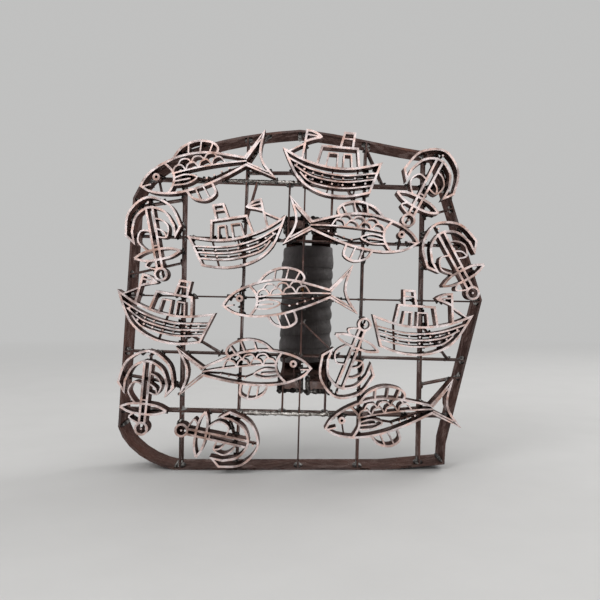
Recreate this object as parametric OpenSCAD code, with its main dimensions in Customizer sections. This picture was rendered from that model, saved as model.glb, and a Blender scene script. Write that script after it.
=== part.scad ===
// Batik stamp: copper strips on edge, carried by a lattice, with a handle behind.
// It stands on its lower edge. The stamping face looks along -Y, the handle is at +Y.

/* [Frame] */
// Overall width, between the heel and the elbow
frame_w = 202.2; // [180:0.2:240]
// Height of the crown above the base
frame_h = 189; // [175:0.5:220]
// Depth of the border strip
frame_d = 22; // [14:0.5:30]
// Thickness of the border strip
frame_t = 1.2; // [0.8:0.1:2]
// Distance from the crown down to the left shoulder
left_shoulder_drop = 38; // [24:1:49]
// How far the left shoulder stands in from the heel
left_shoulder_in = 8.3; // [0:0.1:20]
// Distance from the crown down to the right shoulder
right_shoulder_drop = 13.4; // [4:0.1:24]
// How far the right shoulder stands in from the elbow
right_shoulder_in = 24.4; // [10:0.1:32]
// How far the elbow, the corner at the right, sits below the middle of the lattice
elbow_drop = 0.9; // [-8:0.1:12]
// How far the right foot stands in from the elbow
right_foot_in = 20.8; // [10:0.1:32]
// Height of the short upright piece above the right foot
right_foot_h = 11; // [6:0.5:18]
// How far that piece leans out at its top
right_foot_out = 0.6; // [0:0.1:2]
// Rise of the base towards the right foot
base_rise = 3; // [0:0.5:6]
// Length of that rise
base_rise_l = 34; // [20:1:50]
// Height of the heel, the cut-off corner at the lower left
heel_z = 24; // [16:1:34]
// How far the flat base starts in from the heel
heel_in = 31; // [20:1:40]

/* [Lattice] */
// Depth of the lattice strips
lattice_d = 12; // [8:0.5:14]
// Thickness of the lattice strips
lattice_t = 0.9; // [0.6:0.1:1.5]
// Distance from each side to the nearest upright
side_bay = 34.4; // [28:0.1:38]
// Height of the lowest rail
foot_bay = 31; // [26:0.5:36]
// Distance from the crown down to the highest rail
head_bay = 29.4; // [26:0.1:34]
// How far the lattice sits to the right of the middle
lattice_shift = 1.2; // [-3:0.1:3]
// Clearance each side in the half-lap slots
lap_gap = 0.05; // [0.02:0.01:0.2]
// Depth of the tie strips
tie_d = 8; // [4:0.5:8]
// Thickness of the tie strips
tie_t = 0.8; // [0.6:0.1:1.2]
// Distance from the crown down to the short brace
brace_drop = 23.5; // [21:0.5:26]

/* [Motifs] */
// Width of the lattice bays that the motif sizes below are given for: motifs follow the bays
motif_bay_w = 33.35; // [28:0.05:38]
// Height of those bays
motif_bay_h = 32.15; // [28:0.05:38]
// How far the motifs stand in front of the lattice
motif_d = 10; // [8:0.5:14]
// Thickness of the outline strips
strip_t = 1.2; // [0.8:0.1:1.4]
// Thickness of the inner strips
fine_t = 0.8; // [0.6:0.1:1]
// Diameter of the wire ends that print as dots
dot_dia = 1.1; // [0.8:0.1:1.4]
// Depth of the bridges that carry the inner strips
bridge_d = 4; // [2:0.5:6]
// Diameter of a fish's eye
eye_dia = 2.8; // [2.4:0.1:3.4]
// Diameter of an anchor's ring
ring_dia = 6.4; // [5.6:0.1:7]
// Length of a fish, nose to tail tips
fish_l = 72; // [66:0.5:76]
// Height of a fish over both fins
fish_h = 33; // [30:0.5:36]
// Length of a boat, bow to stern
boat_l = 55; // [50:0.5:60]
// Height of a boat, keel to masthead
boat_h = 35; // [32:0.5:38]
// Length of an anchor, ring to crown
anchor_l = 46; // [42:0.5:50]
// Width of an anchor over its flukes
anchor_w = 30; // [26:0.5:33]

/* [Handle] */
// How far the handle stands to the right of the middle
handle_x = 4; // [0:0.5:8]
// How far the middle of the grip sits below the middle of the lattice
handle_drop = 3.8; // [1:0.1:7]
// Lean of the handle to the right
handle_lean = 2; // [0:0.5:4]
// Length of the wrapped grip
grip_l = 73; // [68:1:78]
// Diameter of the wrapped grip
grip_dia = 33; // [32:0.5:38]
// Distance from the lattice front to the middle of the grip
reach = 58; // [48:0.5:75]
// Thickness of the wrapping
wrap_t = 1.6; // [1:0.1:2]
// Step where one turn of the wrapping laps the next
lap_step = 0.4; // [0.2:0.1:0.7]
// Width of one turn of the wrapping
turn_w = 9; // [7:0.5:14]
// Clearance between the wrapping and the wood
wrap_gap = 0.1; // [0.05:0.05:0.3]
// How far the wood stops short of each end of the wrapping
wood_short = 1; // [0.5:0.5:3]
// Width of the handle strips
handle_strip_w = 12; // [8:0.5:12.5]
// Thickness of the handle strips
handle_strip_t = 2; // [1.5:0.1:2.5]
// Gap between the two handle strips
handle_strip_gap = 4; // [3.5:0.1:5]
// Inside radius of the bends in the handle strips
bend_r = 3; // [2:0.5:5]
// Gap from the end of the wrapping to the start of the bend
leg_gap = 0.5; // [0.3:0.1:2]
// Length of the feet, from the middle of the leg to the tip
foot_l = 8; // [6.5:0.5:11]
// Distance between the stays that carry the feet
stay_spacing = 24; // [20:0.5:26]
// Diameter of the grip rivets
rivet_dia = 3; // [2:0.1:3.2]
// Distance between the grip rivets
rivet_spacing = 26; // [18:1:30]

/* [Hidden] */
$fn = 32;
// How far a cutter runs past what it cuts
eps = 1;

// The whole depth, from the stamping face to the back of the grip
total_d = motif_d + reach + grip_dia / 2;

// Curves and strips, drawn on the flat plan of the face
function unit(v) = v / norm(v);
function across(v) = [-v.y, v.x];
function drop_last(p) = [for (i = [0 : len(p) - 2]) p[i]];
function reversed(p) = [for (i = [len(p) - 1 : -1 : 0]) p[i]];
// A point in the box between two corners, as a share of its width and height
function between(a, b, share) = [a.x + share.x * (b.x - a.x), a.y + share.y * (b.y - a.y)];
function blend(a, b, c, d, t) = 0.5 * (2 * b + (c - a) * t
    + (2 * a - 5 * b + 4 * c - d) * t * t + (3 * b - a - 3 * c + d) * t * t * t);
// A smooth line through every point given
function curve(p, n = 4) = [
    for (i = [0 : len(p) - 2]) for (k = [0 : n - 1])
        blend(p[max(i - 1, 0)], p[i], p[i + 1], p[min(i + 2, len(p) - 1)], k / n),
    p[len(p) - 1]
];
function bezier(a, b, c, d, n = 8) = [
    for (k = [0 : n]) let (t = k / n, u = 1 - t)
        u * u * u * a + 3 * u * u * t * b + 3 * u * t * t * c + t * t * t * d
];
// A polyline with each inner corner bent to a radius
function bent(p, r, n = 5) = [
    p[0],
    for (i = [1 : len(p) - 2])
        let (a = unit(p[i - 1] - p[i]), b = unit(p[i + 1] - p[i]),
             half = acos(a * b) / 2, mid = p[i] + unit(a + b) * r / sin(half),
             from = p[i] + a * r / tan(half) - mid, to = p[i] + b * r / tan(half) - mid)
            for (k = [0 : n]) mid + r * unit(from * (n - k) + to * k),
    p[len(p) - 1]
];
// The way out from a corner between two directions, as long as a strip needs to keep its width
// there. The limit stops it from running far out of a very sharp corner.
corner_limit = 0.5;
function corner_step(a, b) = let (m = across(a) + across(b)) 2 * m / max(m * m, corner_limit);
function open_side(p, d) = let (n = len(p)) [
    for (i = [0 : n - 1])
        p[i] + d * corner_step(unit(p[max(i, 1)] - p[max(i, 1) - 1]),
                               unit(p[min(i + 1, n - 1)] - p[min(i, n - 2)]))
];
function closed_side(p, d) = let (n = len(p)) [
    for (i = [0 : n - 1])
        p[i] + d * corner_step(unit(p[i] - p[(i + n - 1) % n]), unit(p[(i + 1) % n] - p[i]))
];
module strip(p, t) {
    polygon(concat(open_side(p, t / 2), reversed(open_side(p, -t / 2))));
}
module loop_strip(p, t) {
    n = len(p);
    polygon(concat(closed_side(p, t / 2), closed_side(p, -t / 2)),
            [[for (i = [0 : n - 1]) i], [for (i = [n : 2 * n - 1]) i]]);
}

// Stands the flat plan up: the lattice's front edges are at height 0 of the plan
module stand() {
    translate([0, motif_d - total_d / 2, 0]) rotate([90, 0, 0]) children();
}
module layer(from, to) {
    translate([0, 0, from]) linear_extrude(to - from) children();
}

// Height of the lattice's middle, which the elbow and the handle keep to
lattice_z = (foot_bay + frame_h - head_bay) / 2;

// Border, anticlockwise from the left end of the flat base
side_x = (frame_w - frame_t) / 2;
heel = [-side_x, heel_z];
elbow = [side_x, lattice_z - elbow_drop];
base_start = [-side_x + heel_in, frame_t / 2];
foot = [side_x - right_foot_in, base_rise + frame_t / 2];
foot_top = foot + [right_foot_out, right_foot_h];
rise_start = [foot.x - base_rise_l, frame_t / 2];
right_shoulder = [side_x - right_shoulder_in, frame_h - right_shoulder_drop];
crown = [0, frame_h - frame_t / 2];
left_shoulder = [-side_x + left_shoulder_in, frame_h - left_shoulder_drop];

runs = [
    [base_start, rise_start, foot],
    [foot, foot_top, elbow],
    [elbow, right_shoulder],
    bezier(right_shoulder, between(right_shoulder, crown, [0.33, 0.2]),
           between(right_shoulder, crown, [0.67, 0.85]), crown),
    bezier(crown, between(crown, left_shoulder, [0.49, 0.08]),
           between(crown, left_shoulder, [0.89, 0.34]), left_shoulder, 12),
    [left_shoulder, heel],
    bezier(heel, between(heel, base_start, [0.1, 0.5]),
           between(heel, base_start, [0.55, 0.9]), base_start, 6)
];
outline = [for (r = runs) each drop_last(r)];
outline_out = closed_side(outline, -frame_t / 2);
outline_in = closed_side(outline, frame_t / 2);
function run_start(k) = k == 0 ? 0 : run_start(k - 1) + len(runs[k - 1]) - 1;
module frame_run(k) {
    n = len(outline);
    i0 = run_start(k);
    i1 = i0 + len(runs[k]) - 1;
    color("saddlebrown") stand() layer(-frame_d, 0)
        polygon(concat([for (i = [i0 : i1]) outline_out[i % n]],
                       [for (i = [i1 : -1 : i0]) outline_in[i % n]]));
}

// Lattice: uprights slotted from the front, rails slotted from behind
strips = [0 : 4];
upright_pitch = (frame_w - 2 * side_bay) / 4;
rail_pitch = (frame_h - foot_bay - head_bay) / 4;
// Each strip is a little off square, in degrees
upright_lean = [0.9, 2.1, 1.5, 1.6, 1.0];
rail_slope = [-1.2, -1.6, -1.1, -1.8, -1.9];
// A point of the lattice, counted in bays from its middle
function grid(u, v) = [lattice_shift + u * upright_pitch, lattice_z + v * rail_pitch];
function upright_line(i) = let (a = upright_lean[i], d = frame_h * [sin(a), cos(a)])
    [grid(i - 2, 0) - d, grid(i - 2, 0) + d];
function rail_line(j) = let (a = rail_slope[j], d = frame_w * [cos(a), sin(a)])
    [grid(0, j - 2) - d, grid(0, j - 2) + d];
function on_upright(i, z) = let (p = upright_line(i))
    p[0] + (p[1] - p[0]) * (z - p[0].y) / (p[1].y - p[0].y);
function on_rail(j, x) = let (p = rail_line(j))
    p[0] + (p[1] - p[0]) * (x - p[0].x) / (p[1].x - p[0].x);
module inside_border() {
    layer(-frame_d - eps, eps) polygon(outline_in);
}
module upright(i) {
    color("sienna") stand() difference() {
        intersection() {
            layer(-lattice_d, 0) strip(upright_line(i), lattice_t);
            inside_border();
        }
        for (j = strips)
            layer(-lattice_d / 2, eps) strip(rail_line(j), lattice_t + 2 * lap_gap);
    }
}
module rail(j) {
    color("peru") stand() difference() {
        intersection() {
            layer(-lattice_d, 0) strip(rail_line(j), lattice_t);
            inside_border();
        }
        for (i = strips)
            layer(-lattice_d - eps, -lattice_d / 2) strip(upright_line(i), lattice_t + 2 * lap_gap);
    }
}

// Short strips that butt against the lattice and the border
function at_upright(i, v) = on_upright(i, grid(0, v).y);
function at_rail(j, u) = on_rail(j, grid(u, 0).x);
module butted(p, t, d) {
    stand() difference() {
        intersection() {
            layer(-d, 0) strip(p, t);
            inside_border();
        }
        for (k = strips) {
            layer(-d - eps, eps) strip(upright_line(k), lattice_t);
            layer(-d - eps, eps) strip(rail_line(k), lattice_t);
        }
    }
}
// Ties, each from a lattice strip to another one or past the border
ties = [
    [at_rail(4, -0.75), at_upright(1, 1.3)],
    [at_rail(4, 0.72), at_upright(3, 1.4)],
    [grid(-3.3, 1.5), at_upright(0, 1.72)],
    [at_upright(1, 2.3), grid(-0.35, 3.2)],
    [at_rail(4, 1.35), at_upright(3, 2.6)],
    [at_upright(4, 1.42), grid(3.2, 1.75)],
    [at_upright(4, 0.62), grid(3.4, 0.2)],
    [grid(-3.4, 0.3), at_upright(0, 0.62)],
    [at_rail(1, -1.35), at_upright(0, -0.55)],
    [at_upright(2, -0.4), at_rail(1, 0.6)],
    [at_upright(4, -0.45), at_rail(1, 2.45)],
    [at_upright(4, -1.5), grid(3.2, -1.25)],
    [at_rail(0, -1.25), at_upright(1, -2.55)],
    [grid(-3.4, -1.25), at_upright(0, -1.5)]
];
module tie(k) {
    color("chocolate") butted(ties[k], tie_t, tie_d);
}
module crown_brace() {
    brace_z = frame_h - brace_drop;
    color("chocolate") butted([on_upright(1, brace_z), on_upright(2, brace_z)], tie_t, tie_d);
}
// Stays between two rails, in line with the handle, that its feet are soldered to
grip_z = lattice_z - handle_drop;
function stay_end(side, j) = on_rail(j, handle_x + side * stay_spacing / 2
    + (grid(0, j - 2).y - grip_z) * tan(handle_lean));
module stays(j) {
    color("sienna") for (side = [-1, 1])
        butted([stay_end(side, j), stay_end(side, j + 1)], lattice_t, lattice_d);
}

// Motifs: each is bent from strip, with bridges inside it for the fine lines and dots.
// A motif's points are turned, stretched with the bays and set down before they become strips,
// so that strips keep their thickness. $at is the motif's place, from the lists further down.
function turned(p, turn, mirrored) = let (x = mirrored ? -p.x : p.x)
    [x * cos(turn) - p.y * sin(turn), x * sin(turn) + p.y * cos(turn)];
function on_face(p) = [
    for (q = p) let (r = turned(q, $at[2], $at[3] == 1))
        grid($at[0], $at[1]) + [r.x * upright_pitch / motif_bay_w, r.y * rail_pitch / motif_bay_h]
];
module outline_strip(p) {
    layer(0, motif_d) loop_strip(on_face(p), strip_t);
}
module heavy(p) {
    layer(0, motif_d) strip(on_face(p), strip_t);
}
module fine(p) {
    layer(0, motif_d) strip(on_face(p), fine_t);
}
module bridge(p) {
    layer(0, bridge_d) strip(on_face(p), fine_t);
}
module dot(p) {
    translate(on_face([p])[0]) cylinder(d = dot_dia, h = motif_d);
}
module eyelet(p, d) {
    translate(on_face([p])[0]) difference() {
        cylinder(d = d + strip_t, h = motif_d);
        translate([0, 0, -eps]) cylinder(d = d - strip_t, h = motif_d + 2 * eps);
    }
}

// Fish: shares of its length and height, nose to the left
function on_fish(p) = [for (q = p) [q.x * fish_l, q.y * fish_h]];
fish_back = curve(on_fish([
    [-0.5, -0.04], [-0.44, 0.1], [-0.33, 0.22], [-0.16, 0.3], [0.02, 0.28], [0.18, 0.17], [0.31, 0.06]
]));
fish_belly = curve(on_fish([
    [0.31, -0.06], [0.14, -0.17], [-0.06, -0.26], [-0.26, -0.27], [-0.42, -0.18], [-0.5, -0.04]
]));
fish_tail = concat(
    on_fish([[0.31, 0.06], [0.39, 0.2]]),
    curve(on_fish([[0.5, 0.42], [0.45, 0.2], [0.43, 0.02], [0.45, -0.16], [0.5, -0.36]]), 2),
    on_fish([[0.39, -0.17]]));
fish_upper_fin = [[-0.22, 0.28], [-0.14, 0.43], [-0.02, 0.49], [0.09, 0.42], [0.13, 0.31], [0.11, 0.22]];
fish_lower_fin = [[-0.17, -0.27], [-0.13, -0.42], [-0.04, -0.49], [0.04, -0.41], [0.03, -0.23]];
fish_gill = [[-0.29, 0.25], [-0.24, 0.08], [-0.25, -0.1], [-0.31, -0.26]];
fish_side_line = [[-0.25, 0.05], [-0.05, 0.06], [0.15, 0.04], [0.32, 0.0]];
fish_side_fin = [[-0.24, -0.03], [-0.15, -0.01], [-0.07, -0.09], [-0.15, -0.16], [-0.26, -0.14]];
// Straight inner strips: three in the upper fin, two in the lower, two in the tail, the mouth
// and one across the side fin
fish_rays = [
    [[-0.1, 0.29], [-0.08, 0.47]], [[-0.01, 0.29], [0.02, 0.48]], [[0.06, 0.26], [0.1, 0.4]],
    [[-0.1, -0.27], [-0.08, -0.46]], [[-0.04, -0.26], [-0.01, -0.47]],
    [[0.32, 0.03], [0.46, 0.3]], [[0.32, -0.03], [0.46, -0.25]],
    [[-0.49, -0.06], [-0.42, -0.05]], [[-0.25, -0.08], [-0.12, -0.09]]
];
fish_dots = on_fish([[0.0, -0.14], [0.06, -0.12], [0.12, -0.09], [0.18, -0.06]]);
fish_eye = on_fish([[-0.37, 0.05]])[0];
module fish() {
    outline_strip([for (p = [fish_back, fish_tail, fish_belly]) each drop_last(p)]);
    for (p = [fish_upper_fin, fish_lower_fin, fish_gill]) heavy(curve(on_fish(p)));
    for (p = [fish_side_line, fish_side_fin]) fine(curve(on_fish(p)));
    for (p = fish_rays) fine(on_fish(p));
    // Two rows of scales, the upper ones over the gaps of the lower
    for (u = [-0.24 : 0.1 : 0.06])
        fine(curve(on_fish([[u, 0.05], [u + 0.02, 0.14], [u + 0.07, 0.16], [u + 0.1, 0.05]]), 3));
    for (u = [-0.19 : 0.1 : 0.01])
        fine(curve(on_fish([[u, 0.16], [u + 0.03, 0.24], [u + 0.08, 0.23], [u + 0.1, 0.15]]), 3));
    eyelet(fish_eye, eye_dia);
    bridge(on_fish([[-0.37, 0.19], [-0.37, -0.22]]));
    bridge(on_fish([[0.31, 0.06], [0.31, -0.06]]));
    bridge(concat(on_fish([[-0.07, -0.09]]), fish_dots, on_fish([[0.31, -0.03]])));
    for (p = fish_dots) dot(p);
}

// Boat: shares of its length and height, bow to the left
function on_boat(p) = [for (q = p) [q.x * boat_l, q.y * boat_h]];
boat_deck = curve(on_boat([[-0.5, 0.16], [-0.3, 0.02], [-0.05, -0.06], [0.2, -0.05], [0.46, 0.06]]));
boat_keel = curve(on_boat([[0.37, -0.4], [0.14, -0.49], [-0.12, -0.46], [-0.34, -0.26], [-0.5, 0.16]]));
boat_cabin = [[-0.17, -0.03], [-0.13, 0.26], [0.22, 0.26], [0.25, -0.04]];
boat_door = [[-0.08, -0.06], [-0.06, 0.16], [0.03, 0.16], [0.03, -0.07]];
boat_window = [[0.09, -0.07], [0.09, 0.16], [0.16, 0.16], [0.18, -0.06]];
boat_funnel = [[0.05, 0.26], [0.08, 0.49], [0.18, 0.49], [0.17, 0.26]];
boat_funnel_band = [[0.07, 0.4], [0.18, 0.4]];
boat_mast = [[-0.32, 0.03], [-0.29, 0.5]];
boat_flag = [[-0.29, 0.48], [-0.23, 0.47], [-0.15, 0.4], [-0.22, 0.36], [-0.3, 0.31]];
boat_flag_bar = [[-0.29, 0.42], [-0.17, 0.4]];
boat_stay = [[-0.3, 0.28], [-0.46, 0.13]];
// A line along the hull, k planks below the deck
function strake(k) = curve(on_boat([
    [-0.45 + 0.06 * k, 0.03 - 0.1 * k], [-0.2, -0.12 - 0.1 * k],
    [0.1, -0.17 - 0.1 * k], [0.43 - 0.02 * k, -0.09 - 0.1 * k]
]), 6);
module boat() {
    outline_strip(concat(drop_last(boat_deck), on_boat([[0.46, 0.06]]), drop_last(boat_keel)));
    for (p = [boat_cabin, boat_funnel, boat_mast]) heavy(on_boat(p));
    for (p = [boat_door, boat_window, boat_funnel_band, boat_flag_bar, boat_stay]) fine(on_boat(p));
    heavy(curve(on_boat(boat_flag), 3));
    for (k = [0, 1, 2]) fine(strake(k));
    for (k = [0.5, 1.5]) bridge(strake(k));
    // The dots stand on those two bridges, at every second point
    for (i = [2 : 2 : 16]) dot(strake(0.5)[i]);
    for (i = [4 : 2 : 16]) dot(strake(1.5)[i]);
    bridge(on_boat([[0.0, -0.06], [-0.05, -0.47]]));
    bridge(on_boat([[0.25, -0.04], [0.22, -0.46]]));
}

// Anchor: shares of its length and width, ring to the left
function on_anchor(p) = [for (q = p) [q.x * anchor_l, q.y * anchor_w]];
anchor_arm = curve(on_anchor([[0.13, 0.38], [0.3, 0.26], [0.38, 0.0], [0.3, -0.26], [0.13, -0.38]]), 5);
anchor_crown = curve(on_anchor([[0.1, -0.5], [0.36, -0.38], [0.5, 0.0], [0.36, 0.38], [0.1, 0.5]]), 5);
// A rope from the ring, round the shank and over the lower arm
anchor_rope = [
    [[-0.36, 0.05], [-0.3, 0.24], [-0.24, 0.16]],
    [[-0.13, 0.15], [0.0, 0.3], [0.12, 0.22], [0.1, 0.05]],
    [[0.02, -0.06], [0.0, -0.22], [0.12, -0.28], [0.21, -0.18], [0.24, -0.06]],
    [[0.0, -0.22], [0.07, -0.18], [0.12, -0.06]]
];
anchor_ring = on_anchor([[-0.42, 0]])[0];
anchor_shank = [[-0.36, 0.048], [0.39, 0.06]];
anchor_stock = [
    [[-0.185, -0.42], [-0.24, -0.2], [-0.24, 0.2], [-0.185, 0.42]],
    [[-0.185, -0.42], [-0.13, -0.2], [-0.13, 0.2], [-0.185, 0.42]]
];
module anchor() {
    outline_strip(concat(anchor_arm, on_anchor([[0.0, -0.38]]), anchor_crown, on_anchor([[0.0, 0.38]])));
    eyelet(anchor_ring, ring_dia);
    for (side = [-1, 1])
        heavy(on_anchor([for (q = anchor_shank) [q.x, side * q.y]]));
    for (p = anchor_stock) heavy(curve(on_anchor(p), 3));
    for (p = anchor_rope) fine(curve(on_anchor(p)));
    fine(on_anchor([[-0.08, -0.06], [-0.08, 0.06]]));
    dot(anchor_ring);
    dot(on_anchor([[0.44, 0]])[0]);
    bridge(on_anchor([[-0.5, 0], [-0.3, 0]]));
    bridge(on_anchor([[0.38, 0], [0.5, 0]]));
    bridge(on_anchor([[-0.3, -0.05], [-0.3, 0.05]]));
}

// Where each motif sits, in bays from the middle of the lattice: [across, up, turn, mirrored]
fish_at = [[-1.58, 2.17, 12, 0], [0.82, 1.14, -8, 1], [-0.22, 0.02, 5, 0],
           [-0.94, -1.2, 3, 1], [1.44, -1.98, 9, 0]];
boat_at = [[0.52, 2.27, -5, 0], [-1.08, 1.08, 8, 1], [-2.2, -0.2, -10, 0], [1.92, -0.42, -4, 1]];
anchor_at = [[2.0, 1.85, 62, 0], [-2.4, 1.0, 100, 0], [2.5, 0.62, 118, 0], [-2.56, -1.6, 84, 0],
             [0.8, -1.0, 68, 1], [-1.4, -2.35, -12, 0]];
module fish_node(k) {
    $at = fish_at[k];
    color("lightsalmon") stand() fish();
}
module boat_node(k) {
    $at = boat_at[k];
    color("burlywood") stand() boat();
}
module anchor_node(k) {
    $at = anchor_at[k];
    color("pink") stand() anchor();
}

// Handle, drawn about the middle of its grip: x across, y back from the lattice, z up
module handle() {
    translate([handle_x, motif_d - total_d / 2, grip_z]) rotate([0, handle_lean, 0]) children();
}
foot_y = lattice_d + handle_strip_t / 2;
leg_z = grip_l / 2 + leg_gap + bend_r + handle_strip_t / 2;
handle_line = bent([
    [foot_y, leg_z + foot_l], [foot_y, leg_z], [reach, leg_z],
    [reach, -leg_z], [foot_y, -leg_z], [foot_y, -leg_z - foot_l]
], bend_r + handle_strip_t / 2);
module handle_strip(side) {
    mid = side * (handle_strip_gap + handle_strip_w) / 2;
    color("saddlebrown") handle() translate([mid - handle_strip_w / 2, 0, 0])
        rotate([90, 0, 90]) linear_extrude(handle_strip_w) strip(handle_line, handle_strip_t);
}
module handle_strip_left() {
    handle_strip(-1);
}
module handle_strip_right() {
    handle_strip(1);
}

// Grip: two half-round pieces of wood clasp the strips, rivets join them, a wrapping covers them
grip_facets = 64;
wood_r = grip_dia / 2 - wrap_t - wrap_gap;
wood_l = grip_l - 2 * wood_short;
module wood_round() {
    translate([0, reach, -wood_l / 2]) cylinder(r = wood_r, h = wood_l, $fn = grip_facets);
}
module rivet_shanks() {
    for (k = [-1, 0, 1])
        translate([0, reach, k * rivet_spacing]) rotate([90, 0, 0])
            cylinder(d = rivet_dia, h = grip_dia, center = true);
}
module grip_wood(side) {
    flat = handle_strip_t / 2;
    color("peru") handle() difference() {
        wood_round();
        translate([-grip_dia, side > 0 ? reach - grip_dia : reach - flat, -grip_l])
            cube([2 * grip_dia, grip_dia + flat, 2 * grip_l]);
        rivet_shanks();
    }
}
module grip_wood_front() {
    grip_wood(-1);
}
module grip_wood_back() {
    grip_wood(1);
}
module grip_rivets() {
    color("darkgoldenrod") handle() intersection() {
        rivet_shanks();
        wood_round();
    }
}
// Wrapping: each turn laps the one below it
turns = round(grip_l / turn_w);
turn_rise = grip_l / turns;
module grip_wrap() {
    r = grip_dia / 2;
    color("dimgray") handle() translate([0, reach, -grip_l / 2]) rotate_extrude($fn = grip_facets)
        polygon(concat(
            [[wood_r + wrap_gap, 0]],
            [for (k = [0 : turns - 1]) each [[r - lap_step, k * turn_rise], [r, (k + 1) * turn_rise]]],
            [[wood_r + wrap_gap, grip_l]]));
}

frame_run(0);  // frame_base
frame_run(1);  // frame_right_lower
frame_run(2);  // frame_right_upper
frame_run(3);  // frame_crown_right
frame_run(4);  // frame_crown_left
frame_run(5);  // frame_left
frame_run(6);  // frame_heel
upright(0);  // upright_1
upright(1);  // upright_2
upright(2);  // upright_3
upright(3);  // upright_4
upright(4);  // upright_5
rail(0);  // rail_1
rail(1);  // rail_2
rail(2);  // rail_3
rail(3);  // rail_4
rail(4);  // rail_5
crown_brace();
stays(3);  // upper_stays
stays(0);  // lower_stays
tie(0);  // tie_1
tie(1);  // tie_2
tie(2);  // tie_3
tie(3);  // tie_4
tie(4);  // tie_5
tie(5);  // tie_6
tie(6);  // tie_7
tie(7);  // tie_8
tie(8);  // tie_9
tie(9);  // tie_10
tie(10);  // tie_11
tie(11);  // tie_12
tie(12);  // tie_13
tie(13);  // tie_14
fish_node(0);  // fish_1
fish_node(1);  // fish_2
fish_node(2);  // fish_3
fish_node(3);  // fish_4
fish_node(4);  // fish_5
boat_node(0);  // boat_1
boat_node(1);  // boat_2
boat_node(2);  // boat_3
boat_node(3);  // boat_4
anchor_node(0);  // anchor_1
anchor_node(1);  // anchor_2
anchor_node(2);  // anchor_3
anchor_node(3);  // anchor_4
anchor_node(4);  // anchor_5
anchor_node(5);  // anchor_6
handle_strip_left();
handle_strip_right();
grip_wood_front();
grip_wood_back();
grip_rivets();
grip_wrap();
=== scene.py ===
import math

import bpy
import numpy as np
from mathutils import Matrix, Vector, noise
from mathutils.bvhtree import BVHTree


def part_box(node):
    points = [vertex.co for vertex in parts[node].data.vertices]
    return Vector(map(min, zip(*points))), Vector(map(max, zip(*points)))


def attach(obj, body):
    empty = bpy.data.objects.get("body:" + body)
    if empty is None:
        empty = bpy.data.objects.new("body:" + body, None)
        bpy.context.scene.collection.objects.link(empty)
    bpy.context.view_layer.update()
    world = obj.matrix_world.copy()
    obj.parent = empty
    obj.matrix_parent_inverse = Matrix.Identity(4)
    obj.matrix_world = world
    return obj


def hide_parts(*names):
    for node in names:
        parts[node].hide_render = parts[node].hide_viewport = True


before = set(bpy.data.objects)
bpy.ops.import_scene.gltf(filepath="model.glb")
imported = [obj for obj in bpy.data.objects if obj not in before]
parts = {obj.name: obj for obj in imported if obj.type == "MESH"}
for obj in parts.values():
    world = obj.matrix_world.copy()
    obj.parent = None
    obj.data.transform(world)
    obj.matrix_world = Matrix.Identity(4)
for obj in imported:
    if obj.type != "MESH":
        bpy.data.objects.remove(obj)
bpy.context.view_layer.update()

# Batik stamp: the copper work comes from the frame, and this script adds the solder that holds
# it together, the cloth tape on the grip and a finish for every surface. Everything is in metres.
print("frame loaded with", len(parts), "parts")

# Camera: level, looking along +Y at the front of the border
photoView = {
    "distance": 0.400,     # camera to the front edge of the border
    "across": 0.3333,      # width of the picture there
    "height": 0.0944,      # of the lens above the floor
}
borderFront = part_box("frame_base")[0].y
camera = bpy.data.cameras.new("camera")
camera.sensor_width = 36
camera.lens = camera.sensor_width * photoView["distance"] / photoView["across"]
camera.clip_start = 0.01
cameraObject = bpy.data.objects.new("camera", camera)
cameraObject.location = (0, borderFront - photoView["distance"], photoView["height"])
cameraObject.rotation_euler = (math.radians(90), 0, 0)
bpy.context.collection.objects.link(cameraObject)
bpy.context.scene.camera = cameraObject
bpy.context.scene.view_settings.view_transform = "Standard"
print("camera set")


# Adds one shader node. Sockets are given by name, as a value or as the socket to link from.
def put(tree, kind, sockets=None, **settings):
    node = tree.nodes.new(kind)
    for name, value in settings.items():
        setattr(node, name, value)
    for name, value in (sockets or {}).items():
        if isinstance(value, bpy.types.NodeSocket):
            tree.links.new(value, node.inputs[name])
        else:
            node.inputs[name].default_value = value
    return node


def rgb(colour):     # with its alpha
    return (*colour, 1)


def newFinish(name):
    finish = bpy.data.materials.new(name)
    finish.use_nodes = True
    tree = finish.node_tree
    return finish, tree, tree.nodes["Principled BSDF"]


# Cloudy pattern with blotches of about the size given: 0 up to the low threshold, 1 from the high one
def clouds(tree, size, low, high, detail, where=None):
    where = where or put(tree, "ShaderNodeTexCoord").outputs["Object"]
    noiseNode = put(tree, "ShaderNodeTexNoise", {"Vector": where, "Scale": 1 / size, "Detail": detail,
                                                 "Roughness": 0.6})
    return spread(tree, noiseNode.outputs["Fac"], low, high)


# Maps a value from one range to another and holds it within that one
def spread(tree, value, low, high, toLow=0.0, toHigh=1.0):
    return put(tree, "ShaderNodeMapRange", {"Value": value, "From Min": low, "From Max": high,
                                            "To Min": toLow, "To Max": toHigh}).outputs["Result"]


def calc(tree, operation, first, second=0.0):
    node = put(tree, "ShaderNodeMath", operation=operation)
    for socket, value in zip(node.inputs, (first, second)):
        if isinstance(value, bpy.types.NodeSocket):
            tree.links.new(value, socket)
        else:
            socket.default_value = value
    return node.outputs[0]


def blendColour(tree, share, first, second):
    node = put(tree, "ShaderNodeMix", data_type="RGBA")
    for socket, value in ((node.inputs[0], share), (node.inputs[6], first), (node.inputs[7], second)):
        if isinstance(value, bpy.types.NodeSocket):
            tree.links.new(value, socket)
        else:
            socket.default_value = value if socket.type == "VALUE" else rgb(value)
    return node.outputs[2]


def blendValue(tree, share, first, second):
    node = put(tree, "ShaderNodeMix", data_type="FLOAT")
    for socket, value in ((node.inputs[0], share), (node.inputs[2], first), (node.inputs[3], second)):
        if isinstance(value, bpy.types.NodeSocket):
            tree.links.new(value, socket)
        else:
            socket.default_value = value
    return node.outputs[0]


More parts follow.
